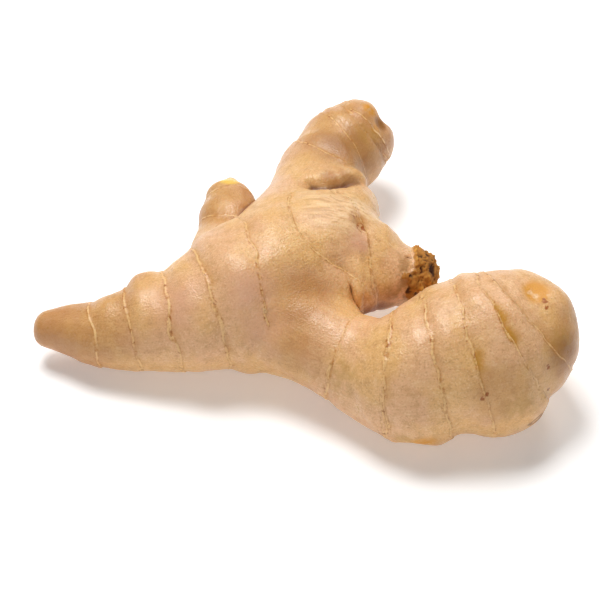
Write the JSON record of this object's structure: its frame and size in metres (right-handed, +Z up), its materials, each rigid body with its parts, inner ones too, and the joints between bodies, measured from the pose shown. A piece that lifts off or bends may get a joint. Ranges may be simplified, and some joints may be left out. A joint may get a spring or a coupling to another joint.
{
  "type": "ginger root",
  "caption": "Whole fresh ginger root lying on a surface: a branched, ringed rhizome with a thick main axis, a knobbed arm, short fingers, a large lobe and a corky finger end",
  "frame": {"origin": "on the surface that the rhizome lies on, under the middle of its bounding box", "axes": "+Z up from the surface; +X along the rhizome from its tapered old end to its large lobe; +Y towards the knobbed arm"},
  "size_m": [0.1467, 0.1187, 0.0429],
  "materials": {
    "ginger_skin": "satin"
  },
  "bodies": {
    "root": {"ginger_rhizome": "ginger_skin"}
  },
  "joints": []
}
